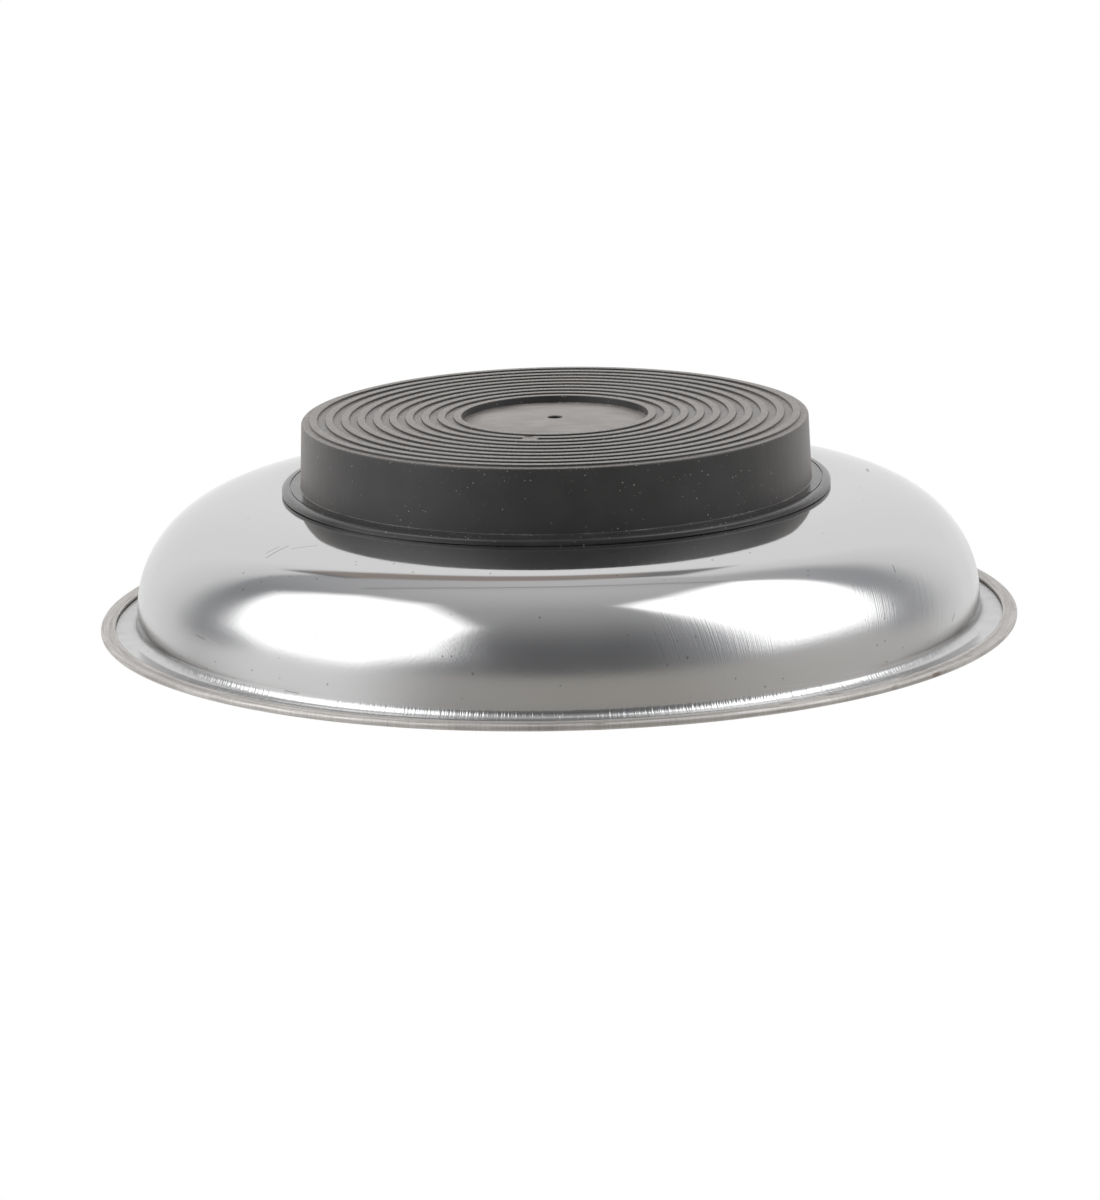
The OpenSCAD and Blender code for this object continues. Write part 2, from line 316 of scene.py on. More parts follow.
    addNode(tree, "ShaderNodeOutputMaterial", {0: steel}, out=None)
    return material


# The same sheet where its edge is folded and ironed flat: dull, with marks round the rim from the rolling
# tool, short strokes across it from deburring, and a few dark scuffs
hemLook = {
    "colour": "#cbc8c5",
    "shade": "#a7a39f",
    "scuff": "#76665f",
    "metallic": 0.72,      # the rest is the grey film that the rolling left
    "rough": 0.43,
    "roughVary": 0.1,
    "markWidth": 0.12,     # mm across
    "markLength": 9,
    "strokeWidth": 0.28,   # mm along the rim
    "strokeLength": 2.4,
    "strokeShare": 0.3,    # of the relief; the marks have the rest
    "reliefDepth": 0.008,
    "scuffLength": 7,
    "scuffWidth": 0.5,
    "scuffFrom": (0.70, 0.78),    # noise at which a scuff starts, and at which it is full
    "scuffShade": 0.75,
    "knockedTurn": -50,    # where the rim was knocked most, degrees in plan
    "knockedReach": 0.9,   # cosine of the turn from there at which scuffs get more frequent
    "knockedMore": 0.14,   # added to the noise there
}


def makeHemSteel(look, rimRadius):
    material, tree = newMaterial("stainless_steel_rolled_edge")
    place = addNode(tree, "ShaderNodeTexCoord", out="Object")
    radius = addNode(tree, "ShaderNodeVectorMath", {0: place}, out="Value", operation="LENGTH")
    around = addNode(tree, "ShaderNodeVectorMath", {0: place}, operation="NORMALIZE")
    x, y = addNode(tree, "ShaderNodeSeparateXYZ", {0: around}, out=None).outputs[:2]
    roundRim = addNode(tree, "ShaderNodeCombineXYZ", {0: x, 1: y, 2: radius})
    patterns = []
    for length, width in (("markLength", "markWidth"), ("strokeWidth", "strokeLength"),
                          ("scuffLength", "scuffWidth")):
        turns = rimRadius / look[length]
        spread = addNode(tree, "ShaderNodeMapping", {0: roundRim, 3: (turns, turns, per(look[width]))})
        patterns.append(addNode(tree, "ShaderNodeTexNoise", {"Vector": spread, "Scale": 1.0, "Detail": 2.0}))
    marks, strokes, scuffs = patterns
    turn = math.radians(look["knockedTurn"])
    toward = addNode(tree, "ShaderNodeVectorMath", {0: around, 1: (math.cos(turn), math.sin(turn), 0)},
                     out="Value", operation="DOT_PRODUCT")
    knocked = addNode(tree, "ShaderNodeMapRange", {
        0: toward, 1: look["knockedReach"], 2: 1.0, 3: 0.0, 4: look["knockedMore"]})
    scuffs = addNode(tree, "ShaderNodeMath", {0: scuffs, 1: knocked}, operation="ADD")
    relief = addNode(tree, "ShaderNodeMix", {0: look["strokeShare"], 2: marks, 3: strokes})
    tone = addNode(tree, "ShaderNodeValToRGB", {0: relief}, stops=shadeToColour(look))
    scuffed = addNode(tree, "ShaderNodeMapRange", {
        0: scuffs, 1: look["scuffFrom"][0], 2: look["scuffFrom"][1], 3: 0.0, 4: look["scuffShade"]})
    tone = addNode(tree, "ShaderNodeMix", {0: scuffed, 6: tone, 7: toLinear(look["scuff"])}, **inColour)
    rough = addNode(tree, "ShaderNodeMapRange", {
        0: relief, 1: noiseMost[0], 2: noiseMost[1], 3: look["rough"] + look["roughVary"], 4: look["rough"]})
    bent = addNode(tree, "ShaderNodeBump", {"Height": relief, "Distance": look["reliefDepth"] * mm})
    steel = addNode(tree, "ShaderNodeBsdfPrincipled", {
        "Base Color": tone, "Metallic": look["metallic"], "Roughness": rough, "Normal": bent})
    addNode(tree, "ShaderNodeOutputMaterial", {0: steel}, out=None)
    return material


# Bowl: one pressed sheet, from the screw hole over the base and wall to the folded rim, and back along its
# inside. Lengths in mm, turns in degrees
bowlForm = {
    "rimWidth": 4.6, "wallHeight": 4.0, "wallLean": 2, "shoulderRadius": 42, "shoulderTurn": 14,
    "filletRadius": 1.4, "sheet": 0.6, "holeRadius": 2.75,
    "baseEdge": 0.2,       # the last ring of the flat base lies that far inside the shoulder
    "hemWidth": 2.4, "hemSlit": 0.08, "hemSlitDepth": 1.7, "hemCrown": 0.05, "hemEdgeRound": 0.12,
    "segments": 480,
}


def bowlSide(form, rimRadius, baseTop, inset):
    lean, turn = math.radians(form["wallLean"]), math.radians(form["shoulderTurn"])
    fillet, shoulder = form["filletRadius"], form["shoulderRadius"]
    filletX, filletZ = rimRadius - form["rimWidth"], form["sheet"] + fillet
    run = (form["wallHeight"] + fillet * math.sin(lean) - filletZ) / math.cos(lean)
    wallX = filletX - fillet * math.cos(lean) - run * math.sin(lean)
    drop = shoulder * (1 - math.cos(turn))
    corner = (baseTop - drop - form["wallHeight"]) / (math.cos(turn) - math.sin(lean))
    cornerX, cornerZ = wallX - corner * math.cos(lean), form["wallHeight"] - corner * math.sin(lean)
    baseX = cornerX + (corner - shoulder) * math.sin(turn)
    turned = 90 - form["shoulderTurn"]
    return (arc(baseX, baseTop - shoulder, shoulder - inset, shoulder - inset, 90, turned, 20)[:-1]
            + arc(cornerX, cornerZ, corner - inset, corner - inset, turned, form["wallLean"], 80)
            + arc(filletX, filletZ, fillet + inset, fillet + inset, 180 + form["wallLean"], 270, 14))


def makeBowl(form):
    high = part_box("bowl")[1] / mm
    rim, top, sheet, hole = high.x, high.z, form["sheet"], form["holeRadius"]
    outside, inside = bowlSide(form, rim, top, 0), bowlSide(form, rim, top, sheet)
    hemX = rim - form["hemWidth"]
    slitX, slitZ = hemX + form["hemSlitDepth"], sheet + form["hemSlit"]
    crownZ, edge = 2 * sheet - form["hemCrown"], form["hemEdgeRound"]
    baseX, backX = (side[0][0] - form["baseEdge"] for side in (outside, inside))
    polished = along((hole, top), (baseX, top), 6) + outside + [(hemX, sheet)]
    hem = ([(slitX, sheet), (slitX, slitZ), (hemX + edge, slitZ)]
           + arc(hemX + edge, slitZ + edge, edge, edge, 270, 180, 4)
           + arc(hemX + edge, crownZ - edge, edge, edge, 180, 100, 4)
           + arc(rim - sheet, sheet, form["hemWidth"] - sheet - edge, sheet, 150, 90, 6)[1:]
           + arc(rim - sheet, sheet, sheet, sheet, 90, -90, 24)[1:])
    back = inside[::-1] + along((backX, top - sheet), (hole, top - sheet), 6)
    zones = [0] * len(polished) + [1] * len(hem) + [0] * len(back)
    steels = [makePolishedSteel(polishedLook, top, sheet + form["filletRadius"], rim),
              makeHemSteel(hemLook, rim)]
    bowl = lathe("polished_bowl", polished + hem + back, form["segments"], steels, zones)
    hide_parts("bowl")
    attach(bowl, "root")


makeBowl(bowlForm)
print("bowl made")

# Black nitrile rubber, compression moulded: matte, greyer towards its outline where the dust on it catches
# the light and where painted sheen lightens the wall's left and right ends, with a pale film of dust on its
# face, thickest in the recess where nothing rubs, and specks caught on the wall and in the corners
rubberLook = {
    "name": "nitrile_rubber_moulded",
    "colour": "#303031",
    "shade": "#29292a",
    "ior": 1.52,
    "roughSide": 0.40,
    "roughTop": 0.36,
    "roughVary": 0.1,
    "sheen": 0.28,
    "sheenRough": 0.4,
    "sheenTint": "#e0d6cb",
    "mottleSize": 5,       # mm
    "grainSize": 0.3,      # moulded grain, mm, drawn coarser than the real one so that it shows
    "grainDepth": 0.012,
    "upward": (0.6, 0.97),        # upright part of the normal on a side, and on the face
    "dust": "#b2aaa5",
    "powderSize": 0.4,     # grains of the dust film, mm, drawn coarser in the same way
    "dustOnRibs": 0.24,    # share of the surface that the film hides
    "dustInRecess": 0.32,
    "dustVary": (0.5, 1.5),       # thin and thick places, as shares of these
    "dustDepth": (1.5, 1.0),      # no film from the first depth under the face down, full at the second, mm
    "recessBlend": 0.1,    # mm
    "wipeLength": 7,       # wiping marks in the recess, mm
    "wipeWidth": 0.5,
    "wipeShare": 0.45,     # of the pattern there
    "dustAndSheenOnEnds": 0.14,    # painted sheen and rubbed dust on the left and right ends of the wall, growing towards its outline
    "endsFrom": 30,        # mm from the middle
    "rubWidth": 0.6,       # rub marks there, mm
    "rubHeight": 6,
    "rubLeast": 0.5,       # share left between them
    "swarmSize": 9,        # groups of specks, mm
    "swarmEdge": (0.42, 0.64),    # noise at which a group starts, and at which it is full
    "speckFree": (0.95, 0.58),    # share of the cells with no speck, outside a group and inside it
    "speckCrowd": 0.35,    # less than that beside a corner
    "speckCell": 0.45,     # one place for a speck in each such cell, mm
    "speckSize": 0.11,
    "speckReach": (1.3, 0.2),     # specks crowd from that far to that near a corner, mm
    "cornerReach": 0.35,   # how far dust creeps up out of a corner, mm
    "cornerEdge": (0.25, 0.5),    # powder at which it starts to lie, and at which it is full
    "cornerGaps": (0.46, 0.62),   # mottling at which it is bare, and at which it is whole
    "cornerDust": 0.55,    # share that it hides in the recess's corner
    "footDust": 0.25,      # and in the corner over the flange
}
# The same rubber on the flange, which the mould's polished land left smooth: darker, with clear highlights
flangeLook = {**rubberLook, "name": "nitrile_rubber_smooth", "roughSide": 0.25, "roughTop": 0.18,
              "sheen": 0.06, "grainDepth": 0.004}


# recess, foot and edge are the radius and height of the recess's corner and of the wall's lower and upper end
def makeRubber(look, recess, foot, edge):
    material, tree = newMaterial(look["name"])
    coordinates = addNode(tree, "ShaderNodeTexCoord", out=None)
    place = coordinates.outputs["Object"]
    x, y, height = addNode(tree, "ShaderNodeSeparateXYZ", {0: place}, out=None).outputs
    flat = addNode(tree, "ShaderNodeCombineXYZ", {0: x, 1: y})
    radius = addNode(tree, "ShaderNodeVectorMath", {0: flat}, out="Value", operation="LENGTH")
    facing = addNode(tree, "ShaderNodeSeparateXYZ", {0: coordinates.outputs["Normal"]}, out="Z")
    upward = addNode(tree, "ShaderNodeMapRange", {
        0: facing, 1: look["upward"][0], 2: look["upward"][1]}, **softly)
    mottle = addNode(tree, "ShaderNodeTexNoise", {
        "Vector": place, "Scale": per(look["mottleSize"]), "Detail": 4.0})
    tone = addNode(tree, "ShaderNodeValToRGB", {0: mottle}, stops=shadeToColour(look))

    # The dust film on the face: powdery on the ribs, thicker and wiped to and fro in the recess
    blend = look["recessBlend"]
    inRecess = addNode(tree, "ShaderNodeMapRange", {
        0: radius, 1: (recess[0] + blend) * mm, 2: (recess[0] - blend) * mm})
    bare, covered = (edge[1] - depth for depth in look["dustDepth"])
    onFace = addNode(tree, "ShaderNodeMapRange", {0: height, 1: bare * mm, 2: covered * mm})
    powder = addNode(tree, "ShaderNodeTexNoise", {
        "Vector": place, "Scale": per(look["powderSize"]), "Detail": 3.0})
    wiped = addNode(tree, "ShaderNodeMapping", {
        0: place, 3: (per(look["wipeLength"]), per(look["wipeWidth"]), 0)})
    wipes = addNode(tree, "ShaderNodeTexNoise", {"Vector": wiped, "Scale": 1.0, "Detail": 3.0})
    blurred = addNode(tree, "ShaderNodeMix", {0: look["wipeShare"], 2: mottle, 3: wipes})
    pattern = addNode(tree, "ShaderNodeMix", {0: inRecess, 2: powder, 3: blurred})
    thin, thick = look["dustVary"]
    uneven = addNode(tree, "ShaderNodeMapRange", {
        0: pattern, 1: noiseCore[0], 2: noiseCore[1], 3: thin, 4: thick})
    thickness = addNode(tree, "ShaderNodeMapRange", {
        0: inRecess, 3: look["dustOnRibs"], 4: look["dustInRecess"]})
    settled = addNode(tree, "ShaderNodeMath", {0: upward, 1: onFace}, operation="MULTIPLY")
    settled = addNode(tree, "ShaderNodeMath", {0: settled, 1: thickness}, operation="MULTIPLY")
    film = addNode(tree, "ShaderNodeMath", {0: settled, 1: uneven}, operation="MULTIPLY")

    # Rub marks on the ends of the wall, and painted sheen: a pale film that lightens the wall's left and
    # right ends towards its outline
    aside = addNode(tree, "ShaderNodeMath", {0: x}, operation="ABSOLUTE")
    # painted sheen: more film towards the left and right ends along X, lighter there as grazing light would
    # make them
    ends = addNode(tree, "ShaderNodeMapRange", {
        0: aside, 1: look["endsFrom"] * mm, 2: foot[0] * mm, 3: 0.0, 4: look["dustAndSheenOnEnds"]})
    sideways = addNode(tree, "ShaderNodeMapRange", {0: upward, 3: 1.0, 4: 0.0})
    smeared = addNode(tree, "ShaderNodeMapping", {
        0: place, 3: (per(look["rubWidth"]), per(look["rubWidth"]), per(look["rubHeight"]))})
    rubs = addNode(tree, "ShaderNodeTexNoise", {"Vector": smeared, "Scale": 1.0, "Detail": 3.0})
    rubsAndSheenOnEnds = addNode(tree, "ShaderNodeMapRange", {
        0: rubs, 1: noiseMost[0], 2: noiseMost[1], 3: look["rubLeast"], 4: 1.0})
    rubsAndSheenOnEnds = addNode(tree, "ShaderNodeMath", {0: rubsAndSheenOnEnds, 1: ends}, operation="MULTIPLY")
    film = addNode(tree, "ShaderNodeMath", {0: rubsAndSheenOnEnds, 1: sideways, 2: film}, operation="MULTIPLY_ADD")
    dusty = addNode(tree, "ShaderNodeMix", {0: film, 6: tone, 7: toLinear(look["dust"])}, **inColour)

    # Specks, which lie in groups and crowd in the corners and along the edge, and dust lying in the corners
    cells = addNode(tree, "ShaderNodeTexVoronoi", {
        "Vector": place, "Scale": per(look["speckCell"])}, out=None)
    chance = addNode(tree, "ShaderNodeSeparateColor", {0: cells.outputs["Color"]}, out=None)
    here = addNode(tree, "ShaderNodeCombineXYZ", {0: radius, 1: height})
    broken = addNode(tree, "ShaderNodeMapRange", {
        0: mottle, 1: look["cornerGaps"][0], 2: look["cornerGaps"][1]})
    crowd = lying = 0.0
    for corner, dustShare in ((recess, look["cornerDust"]), (foot, look["footDust"]), (edge, 0.0)):
        apart = addNode(tree, "ShaderNodeVectorMath", {0: here, 1: (corner[0] * mm, corner[1] * mm, 0)},
                        out="Value", operation="DISTANCE")
        close = addNode(tree, "ShaderNodeMapRange", {
            0: apart, 1: look["speckReach"][0] * mm, 2: look["speckReach"][1] * mm})
        crowd = addNode(tree, "ShaderNodeMath", {0: close, 1: crowd}, operation="MAXIMUM")
        near = addNode(tree, "ShaderNodeMapRange", {0: apart, 1: look["cornerReach"] * mm, 2: 0.0})
        caught = addNode(tree, "ShaderNodeMath", {0: near, 1: powder}, operation="MULTIPLY")
        piled = addNode(tree, "ShaderNodeMapRange", {
            0: caught, 1: look["cornerEdge"][0], 2: look["cornerEdge"][1], 3: 0.0, 4: dustShare})
        lying = addNode(tree, "ShaderNodeMath", {0: piled, 1: lying}, operation="MAXIMUM")
    lying = addNode(tree, "ShaderNodeMath", {0: lying, 1: broken}, operation="MULTIPLY")
    swarm = addNode(tree, "ShaderNodeTexNoise", {
        "Vector": place, "Scale": per(look["swarmSize"]), "Detail": 2.0})
    (swarmFrom, swarmFull), (freeOutside, freeInside) = look["swarmEdge"], look["speckFree"]
    free = addNode(tree, "ShaderNodeMapRange", {
        0: swarm, 1: swarmFrom, 2: swarmFull, 3: freeOutside, 4: freeInside})
    free = addNode(tree, "ShaderNodeMath", {0: crowd, 1: -look["speckCrowd"], 2: free},
                   operation="MULTIPLY_ADD")
    size = addNode(tree, "ShaderNodeMapRange", {
        0: chance.outputs[0], 1: free, 2: 1.0, 3: 0.0, 4: look["speckSize"] / look["speckCell"]})
    speck = addNode(tree, "ShaderNodeMath", {0: cells.outputs["Distance"], 1: size}, operation="LESS_THAN")
    speckShare = addNode(tree, "ShaderNodeMath", {0: speck, 1: chance.outputs[1]}, operation="MULTIPLY")
    speckShare = addNode(tree, "ShaderNodeMath", {0: speckShare, 1: lying}, operation="MAXIMUM")
    specked = addNode(tree, "ShaderNodeMix", {0: speckShare, 6: dusty, 7: toLinear(look["dust"])}, **inColour)

    # Roughness and moulded grain
    smooth = addNode(tree, "ShaderNodeMapRange", {0: upward, 3: look["roughSide"], 4: look["roughTop"]})
    rough = addNode(tree, "ShaderNodeMath", {0: mottle, 1: look["roughVary"], 2: smooth},
                    operation="MULTIPLY_ADD")
    grain = addNode(tree, "ShaderNodeTexNoise", {
        "Vector": place, "Scale": per(look["grainSize"]), "Detail": 2.0})
    bent = addNode(tree, "ShaderNodeBump", {"Height": grain, "Distance": look["grainDepth"] * mm})
    rubber = addNode(tree, "ShaderNodeBsdfPrincipled", {
        "Base Color": specked, "Roughness": rough, "IOR": look["ior"], "Normal": bent,
        "Sheen Weight": look["sheen"], "Sheen Roughness": look["sheenRough"],
        "Sheen Tint": toLinear(look["sheenTint"])})
    addNode(tree, "ShaderNodeOutputMaterial", {0: rubber}, out=None)
    return material


# Boot: the moulded cap over the magnet, with its ribbed face, recess and vent hole, and the flange round its
# foot. Lengths in mm, turns in degrees
bootForm = {
    "faceRadius": 41.3, "footRadius": 41.7, "edgeRound": 0.32, "band": 1.3,
    "ribs": 10, "ribWidth": 1.3, "ribPitch": 2.61, "ribHeight": 0.35, "ribRound": 0.12, "grooveRound": 0.1,
    "recessDepth": 1.25, "recessCrown": 0.75, "recessRound": 0.2, "recessFloor": 1.0,
    "ventDiameter": 2.3, "ventRound": 0.2,
    "flangeThick": 1.2, "flangeRing": 1.6, "flangeLine": 0.2, "flangeLineDepth": 0.15, "flangeEdge": 0.7,
    "flangeLift": 0.07, "flangeLiftVary": 0.07, "flangeLiftFrom": 43.3,
    "flangeLiftWaves": ((3, -75), (8, -100)),    # how many go round, and how far each is turned
    "flangeUnder": 0.3,    # the flange's underside and its rounding lie below that height
    "flangeLowRound": 0.1, "footRound": 0.15,
    "boreRadius": 40.2, "ceiling": 32.3, "bossRadius": 16.21, "lipRadius": 33.7, "lipThick": 1.2,
    "segments": 420,
}
flawForm = {               # a moulding flaw: one groove is bridged, and the rib inside it is dented
    "turn": -102.1, "bridgeHalf": 4.1,         # degrees in plan
    "bridgeIn": 19.0, "bridgeOut": 20.5,       # radii, mm
    "dentTurn": -103.6, "dentHalf": 3.2, "dentIn": 17.3, "dentOut": 18.75,
    "share": 0.9,          # of a rib's height, by which the groove is filled and the rib is lowered
}
hair = 0.01                # slack for comparing lengths, mm


def ribOutline(form, outer, floorZ, topZ, last):
    inner, corner, foot = outer - form["ribWidth"], form["ribRound"], form["grooveRound"]
    rise = (arc(outer + foot, floorZ + foot, foot, foot, 270, 180, 3)
            + arc(outer - corner, topZ - corner, corner, corner, 0, 90, 4))
    fall = arc(inner + corner, topZ - corner, corner, corner, 90, 180, 4)
    land = [] if last else arc(inner - foot, floorZ + foot, foot, foot, 0, -90, 3)
    return rise + along(rise[-1], fall[0], 3)[1:-1] + fall + land


def makeBoot(form, flaw):
    low, high = (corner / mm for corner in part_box("rubber_boot"))
    foot, ribTop, flange = low.z, high.z, high.x
    face, recess = ribTop - form["ribHeight"], ribTop - form["recessDepth"]
    faceX, footX, edgeRound = form["faceRadius"], form["footRadius"], form["edgeRound"]
    flangeTop, edgeZ = foot + form["flangeThick"], foot + form["flangeEdge"]
    lineX, lineZ = footX + form["flangeRing"], flangeTop - form["flangeLineDepth"]
    beadX, lowRound, footRound = lineX + form["flangeLine"], form["flangeLowRound"], form["footRound"]
    ventX, ventRound, recessRound = form["ventDiameter"] / 2, form["ventRound"], form["recessRound"]
    ribX = faceX - form["band"]
    ribs = []
    for i in range(form["ribs"]):
        ribs += ribOutline(form, ribX - i * form["ribPitch"], face, ribTop, i == form["ribs"] - 1)
    recessX = ribX - (form["ribs"] - 1) * form["ribPitch"] - form["ribWidth"]
    liftZ, lipTop = foot + form["flangeLift"], foot + form["lipThick"]
    bossX, boreX, lipX = form["bossRadius"], form["boreRadius"], form["lipRadius"]
    underRecess, ceiling = recess - form["recessFloor"], form["ceiling"]

    def crowned(r):
        return recess + form["recessCrown"] * (1 - (r / recessX) ** 2)

    ventTop = crowned(ventX)
    floorOut, floorIn, floorSteps = recessX - recessRound, ventX + ventRound, 12
    floor = [floorOut - (floorOut - floorIn) * i / floorSteps for i in range(1, floorSteps)]
    outline = (
        [(lipX, foot), (form["flangeLiftFrom"], foot)]
        + arc(flange - lowRound, liftZ + lowRound, lowRound, lowRound, 270, 360, 4)
        + arc(beadX, edgeZ, flange - beadX, flangeTop - edgeZ, 0, 90, 16)
        + [(beadX, lineZ), (lineX, lineZ), (lineX, flangeTop)]
        + arc(footX + footRound, flangeTop + footRound, footRound, footRound, 270, 180, 4)
        + along((footX, flangeTop + footRound), (faceX, face - edgeRound), 8)[1:]
        + arc(faceX - edgeRound, face - edgeRound, edgeRound, edgeRound, 0, 90, 8)[1:]
        + ribs
        + arc(floorOut, recess + recessRound, recessRound, recessRound, 0, -80, 4)
        + [(r, crowned(r)) for r in floor]
        + arc(floorIn, ventTop - ventRound, ventRound, ventRound, 90, 180, 5)
        + [(ventX, underRecess), (bossX, underRecess), (bossX, ceiling), (boreX, ceiling),
           (boreX, lipTop), (lipX, lipTop)])

    def unevenness(x, y, z):
        r, turn = math.hypot(x, y), math.degrees(math.atan2(y, x))
        if z < foot + form["flangeUnder"] and r > form["flangeLiftFrom"] + hair:
            # The flange doesn't lie flat all round
            ripple = sum(math.sin(math.radians(count * turn + shift))
                         for count, shift in form["flangeLiftWaves"])
            return form["flangeLiftVary"] * ripple / len(form["flangeLiftWaves"])
        if z < face - hair:
            return 0.0
        if flaw["bridgeIn"] < r < flaw["bridgeOut"] and abs(turn - flaw["turn"]) < flaw["bridgeHalf"]:
            return flaw["share"] * (ribTop - z)
        aside = abs(turn - flaw["dentTurn"]) / flaw["dentHalf"]
        dentOut = flaw["dentOut"] - (flaw["dentOut"] - flaw["dentIn"]) * aside ** 2
        if aside < 1 and flaw["dentIn"] < r < dentOut:
            return flaw["share"] * (face - z)
        return 0.0

    corners = (recessX, recess), (footX, flangeTop), (faceX, face)
    rubbers = [makeRubber(look, *corners) for look in (rubberLook, flangeLook)]
    zones = [int(r >= footX and z <= flangeTop) for r, z in outline]
    boot = lathe("moulded_boot", outline, form["segments"], rubbers, zones, unevenness)
    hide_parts("rubber_boot")
    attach(boot, "root")


makeBoot(bootForm, flawForm)
print("boot made")

# The pieces inside the boot and through the base keep their CAD shapes. A look's grain gives the pattern's
# size along X, Y and Z, mm
innerLooks = [
    # Cold rolled carbon steel, cut by a press: grey and satin, with fine rolling lines one way
    {"name": "carbon_steel_cold_rolled", "colour": "#9a9a98", "shade": "#7c7c7a", "metallic": 1.0,
     "rough": 0.36, "roughVary": 0.15, "grain": (12, 0.25, 0.25), "detail": 3.0,
     "nodes": ("backing_plate", "keeper_plate")},
    # Ferrite, pressed and fired: a dark dull ceramic with a fine grain and small pits
    {"name": "ferrite_fired", "colour": "#434447", "shade": "#333437", "metallic": 0.0,
     "rough": 0.68, "roughVary": 0.2, "grain": (0.5, 0.5, 0.5), "detail": 4.0, "grainDepth": 0.02,
     "nodes": ("ring_magnet",)},
    # Zinc plated steel, bright passivated: pale with a faint cloudy spangle
    {"name": "zinc_plated_steel", "colour": "#c3c6ca", "shade": "#a9adb3", "metallic": 1.0,
     "rough": 0.28, "roughVary": 0.18, "grain": (1.4, 1.4, 1.4), "detail": 3.0,
     "nodes": ("centre_screw", "flat_washer", "spring_washer", "hex_nut")},
]


def makeInnerFinish(look):
    material, tree = newMaterial(look["name"])
    place = addNode(tree, "ShaderNodeTexCoord", out="Object")
    scaled = addNode(tree, "ShaderNodeMapping", {0: place, 3: [per(size) for size in look["grain"]]})
    grain = addNode(tree, "ShaderNodeTexNoise", {"Vector": scaled, "Scale": 1.0, "Detail": look["detail"]})
    tone = addNode(tree, "ShaderNodeValToRGB", {0: grain}, stops=shadeToColour(look))
    rough = addNode(tree, "ShaderNodeMath", {0: grain, 1: look["roughVary"], 2: look["rough"]},
                    operation="MULTIPLY_ADD")
    surface = {"Base Color": tone, "Metallic": look["metallic"], "Roughness": rough}
    if "grainDepth" in look:
        surface["Normal"] = addNode(tree, "ShaderNodeBump", {
            "Height": grain, "Distance": look["grainDepth"] * mm})
    finish = addNode(tree, "ShaderNodeBsdfPrincipled", surface)
    addNode(tree, "ShaderNodeOutputMaterial", {0: finish}, out=None)
    return material


for look in innerLooks:
    material = makeInnerFinish(look)
    for name in look["nodes"]:
        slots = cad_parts[name].data.materials
        slots.clear()
        slots.append(material)
print("inner pieces finished")

# Studio: a white floor, two softboxes, a white screen that hangs behind on a cardboard tube, and the grey
# room that the steel mirrors. Turns are degrees round the tray, 0 away from the camera and 90 to its right;
# rises are degrees up; slopes and reaches are heights and widths over the distance away from the camera
studio = {
    "floorRadius": 3.0,            # m
    "floorCorners": 64,
    "boxDistance": 6.0,            # m, so far that the tray sees them from everywhere alike
    "boxStrength": 2.4,
    "boxFade": (0.88, 1.12),       # where its cloth starts to dim and where it ends, as shares of the outline
    "leftBox": [(-146, 55), (-122, 65), (-95, 68), (-72, 59), (-67, 42), (-78, 15), (-92, 10), (-124, 10),
                (-145, 26)],
    "rightBox": [(53, 61.5), (62, 67.3), (72, 70.3), (88, 72.6), (131, 75), (126, 40), (121, 16), (82, 13),
                 (77, 22), (71.5, 39), (64, 51)],
    "zenith": (0.50, 0.70),        # behind the camera, and over the screen
    "zenithBlend": 0.2,            # as a share of the ray's length
    "zenithRises": (30, 88),       # where the room starts to turn into it, and where it has
    "wall": 0.72,                  # the wall over the screen
    "wallTurns": (-44, 5, 54),     # where it is lost in the room, brightest, and lost again
    "screen": (1.07, 0.86),        # in the middle, and at its sides
    "screenDimFrom": 36,
    "screenHalfTurn": 57,
    "screenDome": 44,              # degrees that its round shoulders draw in by
    "screenEdgeBlur": 6.5,
    "screenTop": (1.78, 0.45),     # slope of its top edge in the middle, and how that rises to the right
    "screenTopBlur": 0.08,
    "tube": "#a59a94",             # cardboard
    "tubeEnd": "#838486",
    "tubeSlopes": (1.34, 1.83),
    "tubeSag": 0.3,
    "tubeReach": (-0.75, -0.67, 0.20, 0.39),   # where it starts, turns brown, turns grey and ends
    "tubeToneBlur": 0.04,
    "rod": 0.34,                   # a rod across the top of the wall
    "rodSlopes": (2.84, 3.06),
    "rodReach": (-1.4, 1.4),
    "barBlur": 0.05,               # of the tube and the rod
    "barEndBlur": 0.03,
    "leastAhead": 0.02,            # no slope is steeper than one over this
    "horizonBehind": 10,           # the floor ends at that rise at the sides and behind, and at 0 in front
    "horizonBlend": (0.25, -0.05),             # between these shares of the ray's length
    "horizonBlur": 0.1,            # radians
    "floorWarmth": (1.045, 1.0, 0.93),
    "floorRound": [                # turn, brightness and share of the warmth
        (-180, 0.41, 1), (-148, 0.44, 0.5), (-120, 1.0, 0), (-90, 1.0, 0), (-65, 0.71, 0), (-35, 1.02, 0),
        (30, 1.0, 0), (60, 0.66, 0.4), (110, 0.61, 0.5), (150, 0.43, 1), (180, 0.41, 1)],
    "roomCool": (0.985, 1.0, 1.045),
    "roomRound": [                 # turn and brightness
        (-180, 0.12), (-160, 0.13), (-148, 0.30), (-136, 0.38), (-60, 0.34), (-45, 0.42), (45, 0.42),
        (66, 0.44), (124, 0.46), (138, 0.27), (156, 0.13), (180, 0.12)],
}


def aim(turn, rise, distance):
    a, e = math.radians(turn), math.radians(rise)
    return Vector((math.sin(a) * math.cos(e), math.cos(a) * math.cos(e), math.sin(e))) * distance


def stagePanel(name, corners, faces, material):
    mesh = bpy.data.meshes.new(name)
    mesh.from_pydata([tuple(c) for c in corners], [], faces)
    mesh.materials.append(material)
    panel = bpy.data.objects.new(name, mesh)
    scene.collection.objects.link(panel)
    return panel


